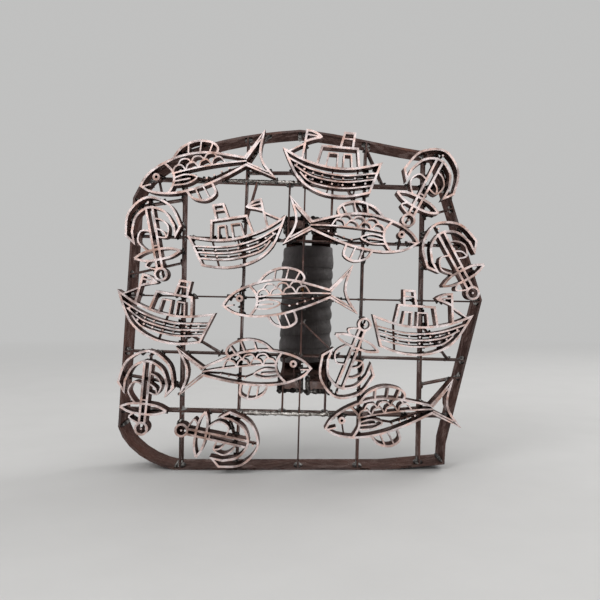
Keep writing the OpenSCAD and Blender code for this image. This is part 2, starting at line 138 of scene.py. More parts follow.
# Bumps one height into the finish
def dent(tree, shader, height, depth, strength=1.0):
    bump = put(tree, "ShaderNodeBump", {"Height": height, "Distance": depth, "Strength": strength})
    tree.links.new(bump.outputs["Normal"], shader.inputs["Normal"])


# 1 where a surface faces the given way along an axis, fading to 0 as it turns aside
def facing(tree, axis, sign, low=0.7, high=0.95):
    normal = put(tree, "ShaderNodeSeparateXYZ",
                 {"Vector": put(tree, "ShaderNodeNewGeometry").outputs["Normal"]}).outputs[axis]
    return spread(tree, calc(tree, "MULTIPLY", normal, sign), low, high)


def along(tree, axis):     # the place along an axis
    return put(tree, "ShaderNodeSeparateXYZ",
               {"Vector": put(tree, "ShaderNodeTexCoord").outputs["Object"]}).outputs[axis]


# Copper: a dark skin of oxide and wax, rubbed bright where the metal is worn
copperTones = {
    "bright": (0.78, 0.69, 0.685), "warm": (0.76, 0.535, 0.475), "dull": (0.33, 0.185, 0.135),
    "skinDark": (0.019, 0.0128, 0.0123), "skinBrown": (0.070, 0.0425, 0.0385),
    "skinRed": (0.21, 0.082, 0.054), "dust": (0.15, 0.128, 0.11), "green": (0.085, 0.14, 0.115),
    "wax": (0.0145, 0.0115, 0.0108), "edgeTint": (0.60, 0.44, 0.41),
}
# Patterns in the skin and on worn metal: size, low and high threshold, and detail of their clouds
patina = {
    "broad": (0.03, 0.36, 0.66, 3), "fine": (0.0013, 0.34, 0.68, 6), "rubbed": (0.022, 0.46, 0.8, 6),
    "wax": (0.011, 0.53, 0.6, 7), "green": (0.0065, 0.64, 0.72, 5), "dust": (0.003, 0.3, 0.6, 4),
    "tarnish": (0.008, 0.34, 0.52, 6), "warm": (0.006, 0.36, 0.56, 4), "dull": (0.014, 0.47, 0.66, 5),
    "chips": (0.0016, 0.38, 0.6, 5), "rolled": (0.0004, 0.56, 0.7, 2), "wiped": (0.0005, 0.62, 0.72, 2),
    "grain": (0.0004, 0.3, 0.7, 3), "sheen": (0.004, 0.35, 0.65, 4), "pits": (0.0035, 0.3, 0.7, 3),
}
# How much of each layer shows, how each state of the surface shines, and how it stands out
wear = {
    "waxShare": 0.7, "greenShare": 0.3, "lineShare": 0.16, "wipedShare": 0.6, "dullShare": 0.85,
    "rimShare": 0.75,
    "dustSlope": (0.5, 0.95),          # how level a surface is where dust starts and where it is full
    "frontDepth": (0.0002, 0.0004),    # where the polish of a front edge starts to fade and is gone
    "rolledDraw": (0.03, 1, 0.03), "wipedDraw": (1, 0.05, 0.6),     # scales of the two kinds of line
    "metallic": (0.8, 1.0),            # of oxide and of worn metal
    "oxideRough": (0.36, 0.62), "wornRough": (0.32, 0.5), "rubbedRough": 0.27, "waxRough": 0.2,
    "grainRelief": 0.2, "lineRelief": 0.12, "waxRelief": 0.35, "relief": 0.00015, "strength": 0.6,
}
# Each copper finish: the part whose front edge is rubbed, how deep the rub reaches and how strong
# it is, how patchy it has tarnished, and how red and dusty the skin is
copperLooks = {
    "face": {"front": "fish_1", "rub": 0.0011, "bright": 1.0, "tarnish": 0.6, "red": 0.6, "dust": 0.12},
    "lattice": {"front": "rail_3", "rub": 0.0012, "bright": 0.05, "tarnish": 0.9, "red": 0.65, "dust": 0.3},
    "border": {"front": "frame_base", "rub": 0.0018, "bright": 0.07, "tarnish": 0.85, "red": 0.55,
               "dust": 0.25},
    "handle": {"front": "handle_strip_left", "rub": 0.0008, "bright": 0.35, "tarnish": 0.7, "red": 1.0,
               "dust": 0.25},
}


# Object coordinates drawn out along the axes whose scale is small
def stretched(tree, scale):
    where = put(tree, "ShaderNodeTexCoord").outputs["Object"]
    return put(tree, "ShaderNodeMapping", {"Vector": where, "Scale": scale}).outputs["Vector"]


# The oxide skin: dark with brown showing through, copper where hands have rubbed it, dust on top
def oxideSkin(tree, rubbed, film, dustShare):
    broad = clouds(tree, *patina["broad"])
    fine = clouds(tree, *patina["fine"])
    mixed = calc(tree, "ADD", calc(tree, "MULTIPLY", broad, 0.5), calc(tree, "MULTIPLY", fine, 0.5))
    tone = blendColour(tree, mixed, copperTones["skinDark"], copperTones["skinBrown"])
    tone = blendColour(tree, rubbed, tone, copperTones["skinRed"])
    waxed = calc(tree, "MULTIPLY", film, wear["waxShare"])
    tone = blendColour(tree, waxed, tone, copperTones["wax"])
    green = calc(tree, "MULTIPLY", clouds(tree, *patina["green"]), wear["greenShare"])
    tone = blendColour(tree, green, tone, copperTones["green"])
    dust = calc(tree, "MULTIPLY", facing(tree, "Z", 1, *wear["dustSlope"]), dustShare)
    dust = calc(tree, "MULTIPLY", dust, clouds(tree, *patina["dust"]))
    return blendColour(tree, dust, tone, copperTones["dust"])


# Fine lines: those that the rolls left run the length of each strip, wiping leaves a few across it
def scratches(tree):
    rolled = clouds(tree, *patina["rolled"], stretched(tree, wear["rolledDraw"]))
    wiped = clouds(tree, *patina["wiped"], stretched(tree, wear["wipedDraw"]))
    return calc(tree, "MAXIMUM", rolled, calc(tree, "MULTIPLY", wiped, wear["wipedShare"]))


def copper(name, look):
    finish, tree, shader = newFinish(name + "Copper")
    lines = scratches(tree)
    rubbed = calc(tree, "MULTIPLY", clouds(tree, *patina["rubbed"]), look["red"])
    film = clouds(tree, *patina["wax"])     # burnt wax, in patches with clear edges
    skin = oxideSkin(tree, rubbed, film, look["dust"])
    skin = blendColour(tree, calc(tree, "MULTIPLY", lines, wear["lineShare"]), skin, copperTones["skinRed"])
    depth = calc(tree, "SUBTRACT", along(tree, "Y"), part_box(look["front"])[0].y)
    onFront = spread(tree, depth, *wear["frontDepth"], 1, 0)
    rim = spread(tree, depth, 0.0, look["rub"], wear["rimShare"], 0)
    rim = calc(tree, "MULTIPLY", rim, clouds(tree, *patina["chips"]))
    worn = calc(tree, "MAXIMUM", calc(tree, "MULTIPLY", onFront, facing(tree, "Y", -1)), rim)
    patchy = spread(tree, clouds(tree, *patina["tarnish"]), 0, 1, 1 - look["tarnish"], 1)
    worn = calc(tree, "MULTIPLY", calc(tree, "MULTIPLY", worn, patchy), look["bright"])
    warmth = clouds(tree, *patina["warm"])
    metal = blendColour(tree, warmth, copperTones["warm"], copperTones["bright"])
    dullness = calc(tree, "MULTIPLY", clouds(tree, *patina["dull"]), wear["dullShare"])
    metal = blendColour(tree, dullness, metal, copperTones["dull"])
    tree.links.new(blendColour(tree, worn, skin, metal), shader.inputs["Base Color"])
    tree.links.new(blendValue(tree, worn, *wear["metallic"]), shader.inputs["Metallic"])
    shader.inputs["Specular Tint"].default_value = rgb(copperTones["edgeTint"])
    grain = clouds(tree, *patina["grain"])
    dull = spread(tree, clouds(tree, *patina["sheen"]), 0, 1, *wear["oxideRough"])
    dull = blendValue(tree, rubbed, dull, wear["rubbedRough"])
    dull = blendValue(tree, film, dull, wear["waxRough"])
    shiny = spread(tree, grain, 0, 1, *wear["wornRough"])
    tree.links.new(blendValue(tree, worn, dull, shiny), shader.inputs["Roughness"])
    grit = calc(tree, "MULTIPLY", grain, wear["grainRelief"])
    pits = calc(tree, "ADD", clouds(tree, *patina["pits"]), grit)
    pits = calc(tree, "SUBTRACT", pits, calc(tree, "MULTIPLY", lines, wear["lineRelief"]))
    pits = calc(tree, "ADD", pits, calc(tree, "MULTIPLY", film, wear["waxRelief"]))
    dent(tree, shader, pits, wear["relief"], wear["strength"])
    return finish


finishes = {name: copper(name, look) for name, look in copperLooks.items()}


# Solder and brazing metal: their tones, and how soon the dark film on them starts
fillerLooks = {
    "solder": {"dull": (0.11, 0.098, 0.09), "bright": (0.40, 0.38, 0.36), "film": 0.43},
    "freshSolder": {"dull": (0.24, 0.22, 0.20), "bright": (0.74, 0.70, 0.66), "film": 0.58},
    "brass": {"dull": (0.30, 0.13, 0.045), "bright": (0.62, 0.30, 0.10), "film": 0.62},
}
fillerWear = {
    "tone": (0.0025, 0.4, 0.62, 4), "ripple": (0.0008, 0.3, 0.7, 3),
    "filmSize": 0.0045, "filmFade": 0.14, "filmDetail": 5,
    "metallic": (0.9, 0.3), "roughness": (0.34, 0.7),     # bare, and under the film
    "relief": 0.0001, "strength": 0.6,
}


def solderMetal(name, look):
    finish, tree, shader = newFinish(name)
    grey = blendColour(tree, clouds(tree, *fillerWear["tone"]), look["dull"], look["bright"])
    film = clouds(tree, fillerWear["filmSize"], look["film"], look["film"] + fillerWear["filmFade"],
                  fillerWear["filmDetail"])
    tree.links.new(blendColour(tree, film, grey, copperTones["skinDark"]), shader.inputs["Base Color"])
    tree.links.new(spread(tree, film, 0, 1, *fillerWear["metallic"]), shader.inputs["Metallic"])
    tree.links.new(spread(tree, film, 0, 1, *fillerWear["roughness"]), shader.inputs["Roughness"])
    dent(tree, shader, clouds(tree, *fillerWear["ripple"]), fillerWear["relief"], fillerWear["strength"])
    return finish


wood = {
    "dark": (0.055, 0.033, 0.022), "light": (0.19, 0.12, 0.075),
    "grain": (0.0016, 0.35, 0.65, 6), "grainDraw": (1, 1, 0.07), "relief": 0.0002, "roughness": 0.6,
}


def oiledWood():
    finish, tree, shader = newFinish("oiledWood")
    grain = clouds(tree, *wood["grain"], stretched(tree, wood["grainDraw"]))
    tree.links.new(blendColour(tree, grain, wood["dark"], wood["light"]), shader.inputs["Base Color"])
    shader.inputs["Roughness"].default_value = wood["roughness"]
    dent(tree, shader, grain, wood["relief"])
    return finish


for name, look in fillerLooks.items():
    finishes[name] = solderMetal(name, look)
finishes["wood"] = oiledWood()
finishOf = {     # by the first word of a part's name
    "fish": "face", "boat": "face", "anchor": "face", "frame": "border", "upright": "lattice",
    "rail": "lattice", "crown": "lattice", "upper": "lattice", "lower": "lattice", "tie": "lattice",
    "handle": "handle", "grip": "handle",
}
for name, part in parts.items():
    chosen = "wood" if name.startswith("grip_wood") else finishOf[name.split("_")[0]]
    for materialSlot in part.material_slots:
        materialSlot.material = finishes[chosen]
print("finishes mixed:", ", ".join(finishes))


# Makes one object from lists of points and faces
def makePiece(name, points, faces, finish):
    mesh = bpy.data.meshes.new(name)
    mesh.from_pydata([tuple(p) for p in points], [], faces)
    mesh.polygons.foreach_set("use_smooth", [True] * len(mesh.polygons))
    mesh.materials.append(finish)
    mesh.update()
    piece = bpy.data.objects.new(name, mesh)
    bpy.context.collection.objects.link(piece)
    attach(piece, "root")
    return piece


def pointsOf(name):
    return np.array([v.co for v in parts[name].data.vertices])


# Search tree over those triangles of some parts that pass a test on their corners and normal
def searchTree(names, chosen):
    points, faces = [], []
    for name in names:
        mesh = parts[name].data
        mesh.calc_loop_triangles()
        base = len(points)
        points += [v.co.copy() for v in mesh.vertices]
        faces += [[base + i for i in t.vertices] for t in mesh.loop_triangles
                  if chosen([mesh.vertices[i].co for i in t.vertices], t.normal)]
    return BVHTree.FromPolygons(points, faces)


borderOrder = ["frame_base", "frame_right_lower", "frame_right_upper", "frame_crown_right",
               "frame_crown_left", "frame_left", "frame_heel"]
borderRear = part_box("frame_base")[1].y
borderThick = 0.0012     # of the strip that the border is bent from
faceMiddle = Vector((0, (borderFront + borderRear) / 2, photoView["height"]))     # level with the lens
cornersOf = [{tuple(p) for p in pointsOf(name).round(5)} for name in borderOrder]
# Points that neighbouring lengths of the border share, where they meet
mitres = set().union(*(a & b for a, b in zip(cornersOf, cornersOf[1:] + cornersOf[:1])))


# The border's outer faces look away from its middle and aren't the cut faces of a mitre
def isOuterFace(corners, normal):
    onMitre = all(tuple(np.array(spot).round(5)) in mitres for spot in corners)
    return abs(normal.y) < 0.5 and (corners[0] - faceMiddle).dot(normal) > 0 and not onMitre


outerFaces = searchTree(borderOrder, isOuterFace)


# How deep a place (x, z) lies inside the border's outer face, and the way out of it
def depthInside(x, z):
    spot = Vector((x, faceMiddle.y, z))
    nearest, out, _, _ = outerFaces.find_nearest(spot)
    return (nearest - spot).dot(out), out


def keptInside(x, z, reach):     # the same place, moved inward where it would come through the border
    depth, out = depthInside(x, z)
    move = max(0, reach - depth)
    return x - out.x * move, z - out.z * move


# Solder: every joint is a lump with arms that creep along the strips it joins
solderLooks = {
    "rings": 8, "sides": 18,
    "core": 0.0007,        # radius between the arms
    "rough": 0.28,         # unevenness of a lump
    "bumps": 900, "waves": 700, "sway": 0.0004,
    "slender": 9,          # the higher, the narrower an arm
    "blunt": 0.35,         # the lower, the blunter a lump's ends
    "tip": 0.02,           # share of the radius left at its very ends
}
lumps = {"points": [], "faces": []}


# One lump round `middle`: its long axis has half-length `half`, its arms lie across it
def addLump(middle, longAxis, half, core, arms, rough):
    longAxis = Vector(longAxis).normalized()
    if abs(longAxis.y) > 0.9:     # it goes through the face's plane, and its arms lie in that plane
        u, v = Vector((1, 0, 0)), Vector((0, 0, 1))
    else:
        u = longAxis.orthogonal().normalized()
        v = longAxis.cross(u)
    first = len(lumps["points"])
    rings, sides = solderLooks["rings"], solderLooks["sides"]
    for ring in range(rings + 1):
        t = -math.cos(math.pi * ring / rings)
        taper = (1 - t * t) ** solderLooks["blunt"] if 0 < ring < rings else solderLooks["tip"]
        for side in range(sides):
            angle = 2 * math.pi * side / sides
            way = u * math.cos(angle) + v * math.sin(angle)
            reach = core + sum(length * max(0, math.cos(angle - turn)) ** solderLooks["slender"]
                               for turn, length in arms)
            point = middle + longAxis * t * half
            spot = point + way * reach * taper
            reach *= 1 + rough * noise.noise(spot * solderLooks["bumps"])
            spot = point + way * reach * taper
            sway = longAxis * solderLooks["sway"] * rough * noise.noise(spot * solderLooks["waves"])
            lumps["points"].append(spot + sway)
    for ring in range(rings):
        for side in range(sides):
            a = first + ring * sides + side
            b = first + ring * sides + (side + 1) % sides
            lumps["faces"].append((a, a + sides, b + sides, b))
    lumps["faces"].append(tuple(first + side for side in range(sides)))
    lumps["faces"].append(tuple(first + rings * sides + side for side in reversed(range(sides))))


# Makes one piece of the lumps added so far
def finishLumps(name, finishName="solder"):
    makePiece(name, lumps["points"], lumps["faces"], finishes[finishName])
    lumps["points"], lumps["faces"] = [], []


# Centre line of a straight strip in the plane of the face: its two ends as (x, z)
def centreLine(points):
    flat = points[:, [0, 2]]
    middle = flat.mean(axis=0)
    way = np.linalg.svd(flat - middle, full_matrices=False)[2][0]
    run = (flat - middle) @ way
    return middle + way * run.min(), middle + way * run.max()


def chance(*key):     # the same number between 0 and 1 for the same place
    return 0.5 + 0.5 * noise.noise(Vector(key) * 531.7 + Vector((0.37, 7.1, 3.3)))


def varied(limits, luck):     # the least, and what chance adds to it
    least, more = limits
    return least + more * luck


straight = {n: centreLine(pointsOf(n)) for n in parts
            if n.split("_")[0] in ("upright", "rail", "tie") or n == "crown_brace"}
for name in ("upper_stays", "lower_stays"):
    stays = pointsOf(name)
    middleX = stays[:, 0].mean()
    straight[name + "_left"] = centreLine(stays[stays[:, 0] < middleX])
    straight[name + "_right"] = centreLine(stays[stays[:, 0] > middleX])


def meeting(lineA, lineB):     # where two centre lines cross, if they do between their ends
    (a, b), (c, d) = lineA, lineB
    r, s = b - a, d - c
    across = r[0] * s[1] - r[1] * s[0]
    t = ((c - a)[0] * s[1] - (c - a)[1] * s[0]) / across
    w = ((c - a)[0] * r[1] - (c - a)[1] * r[0]) / across
    return a + r * t if 0.01 < t < 0.99 and 0.01 < w < 0.99 else None


latticeFront, latticeRear = (corner.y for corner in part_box("rail_3"))
latticeMiddle = (latticeFront + latticeRear) / 2
latticeHalf = (latticeRear - latticeFront) / 2


# Joints of the lattice, at its crossings and its strips' ends. A pair is the least and what chance adds
latticeJoints = {
    "arm": 0.0019,         # reach of solder along a strip
    "crossArm": (0.7, 0.7), "eachArm": (0.8, 0.4), "endArm": (0.6, 0.7),     # shares of that reach
    "longArm": 1.2,        # the arm that runs back along the ending strip, against the other two
    "crossHalf": (0.86, 0.1), "endHalf": (0.8, 0.15),     # half-lengths, as shares of the strip's
    "shift": 0.0008,       # range over which a crossing's lump sits further forward or back
    "inset": 0.0005,       # from a strip's end
    "clear": 0.0003,       # from the border's inner face
}


# Lumps that fill the four corners where an upright crosses a rail
def solderCrossings():
    for i in range(1, 6):     # five uprights and five rails
        for j in range(1, 6):
            spot = meeting(straight[f"upright_{i}"], straight[f"rail_{j}"])
            if spot is None:
                continue
            luck = chance(spot[0], spot[1], 0)
            arm = latticeJoints["arm"] * varied(latticeJoints["crossArm"], luck)
            arms = [(k * math.pi / 2, arm * varied(latticeJoints["eachArm"], chance(spot[0], spot[1], k)))
                    for k in range(4)]
            middle = Vector((spot[0], latticeMiddle + latticeJoints["shift"] * (luck - 0.5), spot[1]))
            addLump(middle, (0, 1, 0), latticeHalf * varied(latticeJoints["crossHalf"], luck),
                    solderLooks["core"], arms, solderLooks["rough"])


# Lumps where a strip ends on another strip or on the border
def solderEnds():
    for name, (start, end) in straight.items():
        node = name if name in parts else name.rsplit("_", 1)[0]
        low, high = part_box(node)
        for tip, other in ((start, end), (end, start)):
            way = (other - tip) / np.linalg.norm(other - tip)
            turn = math.atan2(way[1], way[0])
            luck = chance(tip[0], tip[1], 1)
            arm = latticeJoints["arm"] * varied(latticeJoints["endArm"], luck)
            side = turn + math.pi / 2
            depth, out = depthInside(*tip)
            if depth < 2 * borderThick:       # it ends on the border, so its arms creep along that
                side = math.atan2(out.x, -out.z)
                x, z = keptInside(*tip, borderThick + latticeJoints["clear"])
            else:
                x, z = tip + way * latticeJoints["inset"]
            arms = [(turn, arm * latticeJoints["longArm"]), (side, arm), (side + math.pi, arm)]
            middle = Vector((x, (low.y + high.y) / 2, z))
            addLump(middle, (0, 1, 0), (high.y - low.y) / 2 * varied(latticeJoints["endHalf"], luck),
                    solderLooks["core"], arms, solderLooks["rough"])


solderCrossings()
solderEnds()
finishLumps("latticeSolder")
print("lattice soldered")


# Dabs of solder under the motifs, where they touch the strips that carry them
motifDabs = {
    "radius": 0.0010,
    "size": (0.8, 0.8),    # shares of that radius: the least and what chance adds
    "onBorder": 0.6,       # how much smaller they are on the border, where they have no arms
    "arm": 0.8,            # reach of their arms, in radii
    "half": (0.0009, 0.0012),     # half-length, likewise
    "depth": 0.0001,       # of their middles behind the lattice's front edge
    "clear": 1.2,          # from the border's outer face, in radii
    "apart": 0.0028,       # contacts closer than this share a dab
    "touching": 0.0002,    # faces this close are in contact
    "searchStep": 0.0004,  # from point to point along a strip's edge
    "probeFrom": 0.0004, "probeReach": 0.001,     # start behind that edge, and reach forward
}


# Points on the front edges of some strips where the back of a motif sits on them
def contactPoints(carriers):
    motifs = [n for n in parts if n.split("_")[0] in ("fish", "boat", "anchor")]
    backs = searchTree(motifs, lambda corners, normal: normal.y > 0.9
                       and abs(corners[0].y - latticeFront) < motifDabs["touching"])
    hits = []
    for name in carriers:
        mesh = parts[name].data
        mesh.calc_loop_triangles()
        for t in mesh.loop_triangles:
            a, b, c = (mesh.vertices[i].co for i in t.vertices)
            if t.normal.y > -0.9 or abs(a.y - latticeFront) > motifDabs["touching"]:
                continue
            longest = max((b - a).length, (c - a).length, (c - b).length)
            count = max(1, int(longest / motifDabs["searchStep"]))
            for i in range(count + 1):
                for j in range(count + 1 - i):
                    p = a + (b - a) * (i / count) + (c - a) * (j / count)
                    behind = Vector((p.x, latticeFront + motifDabs["probeFrom"], p.z))
                    if backs.ray_cast(behind, Vector((0, -1, 0)), motifDabs["probeReach"])[0] is not None:
                        hits.append((p.x, p.z))
    return np.array(hits)


# Middles of the clusters of points that lie within reach of each other
def grouped(hits, reach):
    groups = []
    left = hits[np.lexsort((hits[:, 1], hits[:, 0]))]
    while len(left):
        near = np.linalg.norm(left - left[0], axis=1) < reach
        groups.append(left[near].mean(axis=0))
        left = left[~near]
    return groups


def solderMotifs():
    carriers = [n for n in parts if n.split("_")[0] in ("upright", "rail", "tie", "frame", "crown")]
    contacts = grouped(contactPoints(carriers), motifDabs["apart"])
    for x, z in contacts:
        luck = chance(x, z, 2)
        onBorder = depthInside(x, z)[0] < 2 * borderThick
        radius = motifDabs["radius"] * varied(motifDabs["size"], luck)
        if onBorder:
            radius *= motifDabs["onBorder"]
            arms = []
        else:
            arms = [(2 * math.pi * (k / 3 + luck), radius * motifDabs["arm"]) for k in range(3)]
        x, z = keptInside(x, z, radius * motifDabs["clear"])
        addLump(Vector((x, latticeFront + motifDabs["depth"], z)), (0, 1, 0),
                varied(motifDabs["half"], luck), radius, arms, solderLooks["rough"])
    finishLumps("motifSolder")
    print("motifs soldered at", len(contacts), "places")


solderMotifs()

# Runs of beads along a rail's front edge, as fractions of the rail's length. A bead's size is a share
# of the run's, and the step to the next is in radii: each the least and what chance adds
railRuns = {
    "runs": [
        {"strip": "rail_1", "start": 0.38, "end": 0.66, "size": 0.0013},
        {"strip": "rail_5", "start": 0.22, "end": 0.55, "size": 0.0011},
    ],
    "bead": (0.45, 0.75), "step": (1.6, 1.5), "half": 2.2, "rough": 0.5, "depth": 0.0005,
}


def solderRails():
    for run in railRuns["runs"]:
        start, end = straight[run["strip"]]
        if start[0] > end[0]:
            start, end = end, start
        length = np.linalg.norm(end - start)
        where = run["start"] * length
        while where < run["end"] * length:
            x, z = start + (end - start) * where / length
            luck = chance(x, z, 3)
            radius = run["size"] * varied(railRuns["bead"], luck)
            middle = Vector((x, latticeFront + railRuns["depth"], z))
            addLump(middle, (end[0] - start[0], 0, end[1] - start[1]), radius * railRuns["half"], radius,
                    [], railRuns["rough"])
            where += radius * varied(railRuns["step"], luck)
    finishLumps("railSolder", "freshSolder")


solderRails()

# One joint was brazed with yellow metal: a drip down the middle upright, below the middle rail
drip = {
    "strip": "upright_3", "top": 0.1038, "length": 0.0054, "radius": 0.0013, "beads": 4,
    "half": 1.6,           # half-length of a bead, in radii
    "shrink": 0.15,        # from bead to bead
    "rough": 0.3, "depth": 0.0004,
}


def brazeDrip():
    (x0, z0), (x1, z1) = straight[drip["strip"]]
    for k in range(drip["beads"]):
        z = drip["top"] - drip["length"] * k / (drip["beads"] - 1)
        x = x0 + (x1 - x0) * (z - z0) / (z1 - z0)
        addLump(Vector((x, latticeFront + drip["depth"], z)), (0, 0, 1), drip["radius"] * drip["half"],
                drip["radius"] * (1 - drip["shrink"] * k), [], drip["rough"])
    finishLumps("brazedDrip", "brass")


brazeDrip()
print("rails soldered, one joint brazed")

# Beads round the handle's feet
footBeads = {
    "radius": 0.0012, "size": (0.6, 1), "rough": 0.45, "depth": 0.0003,
    "half": 1.5,           # half-length of a bead, in radii
    "step": 0.0022,        # from bead to bead
    "footDepth": 0.0021,   # the handle strips' thickness and a little over, to find their feet
}


# Beads along one edge of a handle foot, from one corner (x, z) to the next
def beadAlong(first, last, front, side):
    (x0, z0), (x1, z1) = first, last
    count = max(2, int(math.hypot(x1 - x0, z1 - z0) / footBeads["step"]))
    for k in range(count + 1):
        x, z = x0 + (x1 - x0) * k / count, z0 + (z1 - z0) * k / count
        radius = footBeads["radius"] * varied(footBeads["size"], chance(x, z, side))
        addLump(Vector((x, front + footBeads["depth"], z)), (x1 - x0, 0, z1 - z0),
                radius * footBeads["half"], radius, [], footBeads["rough"])


# Handle feet, each soldered down along its tip and sides
def solderFeet():
    for name in ("handle_strip_left", "handle_strip_right"):
        points = pointsOf(name)
        middleZ = points[:, 2].mean()
        feet = points[points[:, 1] < points[:, 1].min() + footBeads["footDepth"]]
        for side in (-1, 1):
            foot = feet[(feet[:, 2] - middleZ) * side > 0]
            low, high = foot.min(axis=0), foot.max(axis=0)
            tipZ = high[2] if side > 0 else low[2]
            rootZ = low[2] if side > 0 else high[2]
            corners = [(low[0], rootZ), (low[0], tipZ), (high[0], tipZ), (high[0], rootZ)]
            for first, last in zip(corners, corners[1:]):
                beadAlong(first, last, low[1], side)
    finishLumps("handleSolder")


# Corners of the border, soldered on the inside
cornerFill = {
    "radius": (0.0009, 0.0004),
    "half": 0.97,          # share of the border's depth
    "clear": 0.3,          # from the border's inner face, in radii
    "meeting": 0.00003,    # points this close belong to both lengths
}


def solderCorners():
    for name, following in zip(borderOrder, borderOrder[1:] + borderOrder[:1]):
        here, there = pointsOf(name), pointsOf(following)
        gaps = np.linalg.norm(here[:, None, :] - there[None, :, :], axis=2).min(axis=1)
        near = gaps < cornerFill["meeting"]
        corner = here[near][:, [0, 2]]
        inner = min(corner, key=lambda spot: math.hypot(spot[0] - faceMiddle.x, spot[1] - faceMiddle.z))
        radius = varied(cornerFill["radius"], chance(inner[0], inner[1], 5))
        x, z = keptInside(*inner, borderThick + cornerFill["clear"] * radius)
        addLump(Vector((x, faceMiddle.y, z)), (0, 1, 0), (borderRear - borderFront) / 2 * cornerFill["half"],
                radius, [], solderLooks["rough"])
    finishLumps("borderSolder")


solderFeet()
solderCorners()
print("handle and border soldered")

# Grip: cotton tape wound over the wooden scales, each turn lapping the last
tape = {
    "width": 0.0135, "thick": 0.00072, "pitch": 0.0085,
    "flatTurns": 0.7,      # wound level at each end
    "thinEdge": 0.55,      # share of the thickness that its edges lose
    "edgePower": 7,        # the higher, the narrower those edges
    "leastThick": 0.0002,
    "sunk": 0.00005,       # how far its inner side sinks into what it lies on
    "wander": 0.0006, "edgeWave": 0.0003, "wrinkle": 0.00026,
    "wanderRate": 2.3, "waveRate": 9, "creaseRate": 5.5, "fineRate": 17,     # a turn
    "settle": 12,          # the higher, the nearer to its ends it starts to wander
    "carry": (0.8, 0.2),   # where the last step was higher: shares of its height and of this one's
    "soften": 3,           # passes that round off the steps it is wound over
    "uneven": 0.012,       # share by which its climb speeds up and slows down
    "stepsPerTurn": 132, "samples": 20,
    "cell": 0.00025,       # height of the cells that keep how far the winding has grown
}


# The grip's base, its way up, its length, and the sleeve's inner and outer radius
def gripAxes():
    points = np.unique(pointsOf("grip_wrap").round(6), axis=0)
    middle = points.mean(axis=0)
    way = np.linalg.svd(points - middle, full_matrices=False)[2][0]
    way = way if way[2] > 0 else -way
    run = (points - middle) @ way
    away = np.linalg.norm(points - middle - np.outer(run, way), axis=1)
    base = middle + way * run.min()
    return Vector(base), Vector(way), run.max() - run.min(), away.min(), away.max()


gripBase, gripWay, gripLength, tapeInner, tapeOuter = gripAxes()
gripSide = Vector((0, 1, 0)).cross(gripWay).normalized()
gripBack = gripWay.cross(gripSide)


# Inner and outer radius, height and run of the tape, step by step as it is wound
def windTape():
    perTurn, samples = tape["stepsPerTurn"], tape["samples"]
    width, thick = tape["width"], tape["thick"]
    climb = (gripLength - width) / tape["pitch"]
    turns = 2 * tape["flatTurns"] + climb
    steps = int(turns * perTurn)
    cell = tape["cell"]
    cells = int(gripLength / cell) + 2
    surface = np.full((perTurn, cells), tapeInner)
    across = np.linspace(0, 1, samples)
    rounded = 1 - tape["thinEdge"] * np.abs(2 * across - 1) ** tape["edgePower"]
    inner, outer, height, runAlong = [], [], [], []
    previous = None
    for step in range(steps + 1):
        turn = step / perTurn
        rise = min(max(turn - tape["flatTurns"], 0), climb) / climb
        rise += tape["uneven"] * math.sin(2 * math.pi * rise) / (2 * math.pi)
        centre = width / 2 + (gripLength - width) * rise
        loose = min(1, rise * tape["settle"], (1 - rise) * tape["settle"])
        drift = tape["wander"] * noise.noise(Vector((turn * tape["wanderRate"], 0.5, 9))) * loose
        z = centre + drift + (across - 0.5) * width
        wave = np.array([noise.noise(Vector((turn * tape["waveRate"], side * 40, 4))) for side in (0, 1)])
        z += tape["edgeWave"] * (wave[0] * (1 - across) ** 4 + wave[1] * across ** 4)
        z = np.clip(z, 0, gripLength)
        column = surface[step % perTurn]
        under = np.interp(z / cell, np.arange(cells), column)
        soft = under.copy()     # stiff cloth bridges the steps that it is wound over
        for _ in range(tape["soften"]):
            soft = np.concatenate((soft[:1], (soft[:-2] + 2 * soft[1:-1] + soft[2:]) / 4, soft[-1:]))
        under = np.maximum(under, soft)
        if previous is not None:
            under = np.maximum(under, tape["carry"][0] * previous + tape["carry"][1] * under)
        previous = under
        creases = [noise.noise(Vector((turn * tape["creaseRate"] + v * 2.2, v * 1.6, turn * 0.8)))
                   + 0.5 * noise.noise(Vector((turn * tape["fineRate"], v * 4.5, 3 + turn))) for v in across]
        top = under + thick * rounded + tape["wrinkle"] * np.array(creases)
        inner.append(under - tape["sunk"])
        outer.append(np.maximum(top, under + tape["leastThick"]))
        height.append(z)
        runAlong.append(turn * 2 * math.pi * tapeOuter)
        low, high = int(z.min() / cell), int(z.max() / cell) + 1
        cellsHere = np.arange(low, min(high, cells - 1) + 1)
        column[cellsHere] = np.maximum(column[cellsHere], np.interp(cellsHere * cell, z, outer[-1]))
    return np.array(inner), np.array(outer), np.array(height), np.array(runAlong)


